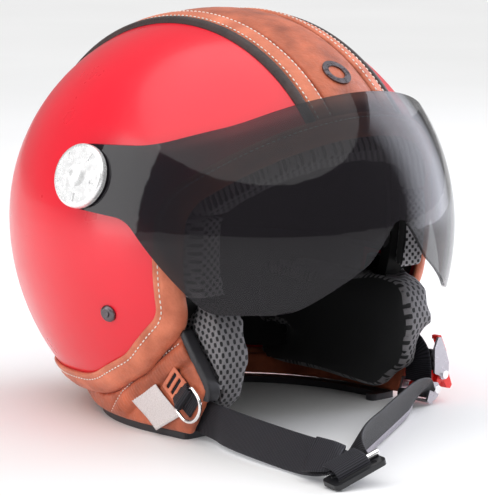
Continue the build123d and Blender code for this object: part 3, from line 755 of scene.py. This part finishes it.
CHIN = [
    (by_adjuster(4, 8.6, -1.4), (-0.92, 0.2, -0.34)),
    ((-93.0, -188.5, 10.4), (-0.7, 0.4, -0.6)),
    ((-82, -181, 12.8), (-0.35, 0.35, -0.87)),
    ((-60, -168.3, 13), (-0.13, 0.22, -0.97)),
    ((-27, -149.4, 13), (-0.13, 0.22, -0.97)),
    ((20, -122, 13), (-0.13, 0.22, -0.97)),
    ((48, -106, 13), (-0.13, 0.3, -0.94)),
    ((68, -93, 11.6), (-0.1, 0.65, -0.75)),
    ((79, -82, 8.4), (0, 0.95, -0.3)),
    ((85.2, -76.8, 6.4), (0, 1, 0)),
]
strap_piece("chin_strap_cover", CHIN, 23.6, 2.2, chin_cloth, ["chin_strap"], crown=1.8)
strap_piece("strap_fold", [
    ((-107.3, -173, 14.0), (-0.6, 0, -0.75)),
    ((-106.3, -184, 14.4), (-0.75, 0.1, -0.6)),
    (by_adjuster(-1, 11, 6.2), (-0.92, 0.195, -0.335)),
], 22, 2.2, tape, ["strap_end"])

strap_piece("strap_wrap", [
    (by_adjuster(-2, 9.5, 7.4), (-0.92, 0.195, -0.335)),
    (by_adjuster(-2, 4, 7.2), (-0.92, 0.195, -0.335)),
    (by_adjuster(-2, 0, 6.6), (-0.92, 0.195, -0.335)),
    (by_adjuster(-2, -2.6, 4.4), (-0.92, 0.195, -0.335)),
    (by_adjuster(-2, -3.4, 1.8), (-0.92, 0.195, -0.335)),
], 22, 1.6, tape, [])

# A grey tape shows along the lower edge of the chin strap's outer face.
TAPE_DOWN, TAPE_OUT = 9.2, 1.5
CHIN_OUTWARD = Vector((0.5, -0.86, -0.1))
EDGE_TAPE = [
    (tuple(Vector(place) + Vector(wide).normalized() * TAPE_DOWN + CHIN_OUTWARD * TAPE_OUT), wide)
    for place, wide in CHIN[2:8]
]
strap_piece("chin_edge_tape", EDGE_TAPE, 4.6, 1.6, edge_tape, [])

# D-ring loop, its leather tab, and the blank cloth label

RING_BAR = Vector((-98.2, -61.4, 27.1))
RING_PULL, RING_ALONG = Vector((0, -0.76, -0.65)), Vector((0, 0.65, -0.76))


def ring_weave(p):
    q = p - RING_BAR
    return q.dot(RING_PULL), q.dot(RING_ALONG)


loop = soft("ring_webbing", ["ring_loop"], 0.5, tape, smooth=3, weave=ring_weave)
tab = soft("ring_leather_tab", ["ring_tab"], 0.45, brown_light, smooth=3)

LABEL = [(-34.9, 32.5), (-12.7, 18.6), (-33.1, 3.2), (-55.6, 15.4)]


def label_point(a, b, lift):
    top = Vector(LABEL[0]).lerp(Vector(LABEL[1]), a)
    low = Vector(LABEL[3]).lerp(Vector(LABEL[2]), a)
    q = top.lerp(low, b)
    p = Vector((0, q.x, q.y))
    wide, long = skirt_size(p.z)
    back = max(p.y - SKIRT_CENTRE_Y, 0) / long
    stand = 1.0 + 0.5 * math.sin(b * 5 + a * 2) + 0.7 * b * b + lift
    return Vector((-(wide * math.sqrt(1 - back * back) + stand), p.y, p.z))


LABEL_CELLS = 16
label_columns = range(LABEL_CELLS + 1)
label_lines = []
for lift in (0.35, 0.0):
    order = range(LABEL_CELLS + 1) if lift else range(LABEL_CELLS, -1, -1)
    for j in order:
        label_lines.append([label_point(i / LABEL_CELLS, j / LABEL_CELLS, lift) for i in label_columns])
label = lofted("blank_cloth_label", label_lines, label_cloth, closed=False)
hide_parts("blank_label")
label_hem = [label_point(i / 20, 0.93, 0.4) for i in range(21)]
stitches("label_stitches", label_hem, pitch=2.6, length=1.6, radius=0.22, normal=skirt_outward)

# Materials of the hard CAD parts

FINISHES = {
    "outer_shell": red, "eps_liner": foam, "base_rim": rubber, "visor": smoke,
    "forehead_badge": gunmetal, "strap_adjuster": plastic, "adjuster_bar": bright, "d_ring": bright,
    "buckle_housing": satin, "buckle_hook": satin, "buckle_cover": red_plastic, "buckle_lever": red_plastic,
    "buckle_tongue": red_plastic, "buckle_spring": satin, "lever_pin": chrome, "hook_pin": chrome,
}
for word, _ in SIDES:
    FINISHES[f"pivot_disc_{word}"] = silver
    FINISHES[f"pivot_base_{word}"] = plastic
    FINISHES[f"pivot_screw_{word}"] = satin
    FINISHES[f"pivot_insert_{word}"] = satin
    FINISHES[f"strap_rivet_{word}"] = gunmetal
    FINISHES[f"anchor_plate_{word}"] = satin
for name, finish in FINISHES.items():
    for held in nodes[name].material_slots:
        held.material = finish

# Floor and light

floor_mat = material("pale_floor", (0.86, 0.86, 0.86), 0.6)
tint(floor_mat, noise_of(floor_mat, 2), (0.85, 0.85, 0.85), (0.88, 0.88, 0.88))
floor = make("floor", [(-12, -12, 0), (12, -12, 0), (12, 12, 0), (-12, 12, 0)], [(0, 1, 2, 3)], floor_mat,
             body=None, scale=1)

world = bpy.data.worlds.new("studio")
world.use_nodes = True
world.node_tree.nodes["Background"].inputs["Color"].default_value = (1.0, 1.0, 1.0, 1)
world.node_tree.nodes["Background"].inputs["Strength"].default_value = 0.28
scene.world = world
scene.view_settings.view_transform = "Standard"


def aimed(data, place, target):
    lamp = bpy.data.objects.new(data.name, data)
    scene.collection.objects.link(lamp)
    lamp.location = place
    lamp.rotation_euler = (Vector(target) - Vector(place)).to_track_quat("-Z", "Y").to_euler()
    return lamp


def softbox(name, place, target, size, power, fade=0.0, color=(1, 1, 1)):
    """A rectangular light; fade softens its two upright edges."""
    data = bpy.data.lights.new(name, "AREA")
    data.shape = "RECTANGLE"
    data.size, data.size_y = size
    data.energy = power
    data.color = color
    if fade:
        data.use_nodes = True
        t = data.node_tree
        where = node(t, "SeparateXYZ", {"Vector": node(t, "NewGeometry").outputs["Parametric"]}).outputs["X"]
        middle = calc(t, "ABSOLUTE", calc(t, "SUBTRACT", where, 0.5))
        soft_edge = node(t, "MapRange", {
            "Value": middle, "From Min": 0.5, "From Max": 0.5 - fade, "To Min": 0.0, "To Max": 1.0,
        }).outputs["Result"]
        t.links.new(soft_edge, t.nodes["Emission"].inputs["Strength"])
    return aimed(data, place, target)


overhead = bpy.data.lights.new("overhead", "SUN")
overhead.energy = 2.6
overhead.angle = math.radians(95)
aimed(overhead, (-0.3, -0.5, 2.0), (0, 0, 0))
softbox("left", (-1.5, 0.5, 0.6), (0, 0, 0.12), (0.8, 1.3), 9)
softbox("right", (1.5, -0.35, 0.55), (0, 0, 0.12), (1.7, 1.5), 38, fade=0.3, color=(0.87, 0.89, 1.0))
